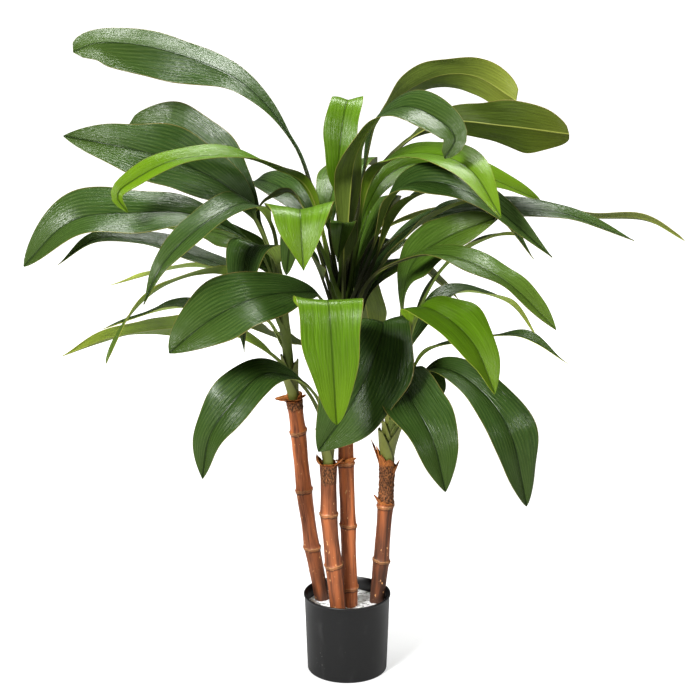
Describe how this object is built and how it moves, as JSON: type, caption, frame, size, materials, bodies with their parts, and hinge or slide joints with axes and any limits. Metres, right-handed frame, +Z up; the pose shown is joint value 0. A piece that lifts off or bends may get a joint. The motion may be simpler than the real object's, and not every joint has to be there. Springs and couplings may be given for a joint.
{
  "type": "potted cordyline",
  "caption": "Tall artificial cordyline with broad arching leaves on bare jointed canes, standing in a round black pot.",
  "frame": {"origin": "centre of the pot's flat base", "axes": "+Z up, +X to the right of the pictured front, -Y towards the viewer"},
  "size_m": [1.0609, 0.5952, 1.0908],
  "materials": {
    "pot_plastic": "satin black, faintly scuffed",
    "fill_grit": "rough pale grey set grit",
    "cane_bark": "red-brown cane with pale rings and torn bark",
    "husk_fibre": "dry torn orange-brown fibre",
    "crown_stem": "pale green, satin",
    "leaf_dark": "dark green with a soft gloss and fine veins",
    "leaf_mid": "mid green with a soft gloss and fine veins",
    "leaf_lime": "bright lime green with a soft gloss and fine veins"
  },
  "bodies": {
    "root": {"pot": "pot_plastic", "fill": "fill_grit", "cane_left": "cane_bark", "cane_front": "cane_bark", "cane_centre": "cane_bark", "cane_right": "cane_bark", "husk_left": "husk_fibre", "husk_front": "husk_fibre", "husk_centre": "husk_fibre", "husk_right": "husk_fibre", "crown_stem_left": "crown_stem", "crown_stem_front": "crown_stem", "crown_stem_centre": "crown_stem", "crown_stem_right": "crown_stem", "leaf_centre_01": "leaf_dark", "leaf_centre_02": "leaf_lime", "leaf_centre_03": "leaf_dark", "leaf_centre_04": "leaf_mid", "leaf_centre_05": "leaf_lime", "leaf_centre_06": "leaf_mid", "leaf_centre_07": "leaf_dark", "leaf_centre_08": "leaf_lime", "leaf_centre_09": "leaf_dark", "leaf_centre_10": "leaf_dark", "leaf_centre_11": "leaf_mid", "leaf_centre_12": "leaf_lime", "leaf_centre_13": "leaf_lime", "leaf_centre_14": "leaf_dark", "leaf_centre_15": "leaf_dark", "leaf_centre_16": "leaf_dark", "leaf_centre_17": "leaf_dark", "leaf_centre_18": "leaf_dark", "leaf_centre_19": "leaf_mid", "leaf_centre_20": "leaf_mid", "leaf_centre_21": "leaf_mid", "leaf_centre_22": "leaf_dark", "leaf_centre_23": "leaf_mid", "leaf_centre_24": "leaf_dark", "leaf_centre_25": "leaf_dark", "leaf_left_01": "leaf_dark", "leaf_left_02": "leaf_dark", "leaf_left_03": "leaf_dark", "leaf_left_04": "leaf_dark", "leaf_left_05": "leaf_dark", "leaf_left_06": "leaf_dark", "leaf_left_07": "leaf_mid", "leaf_left_08": "leaf_dark", "leaf_left_09": "leaf_mid", "leaf_left_10": "leaf_dark", "leaf_front_01": "leaf_mid", "leaf_front_02": "leaf_dark", "leaf_front_03": "leaf_lime", "leaf_front_04": "leaf_dark", "leaf_right_01": "leaf_mid", "leaf_right_02": "leaf_mid", "leaf_right_03": "leaf_dark", "leaf_right_04": "leaf_dark", "leaf_right_05": "leaf_lime", "leaf_right_06": "leaf_dark", "leaf_right_07": "leaf_dark"}
  },
  "joints": []
}
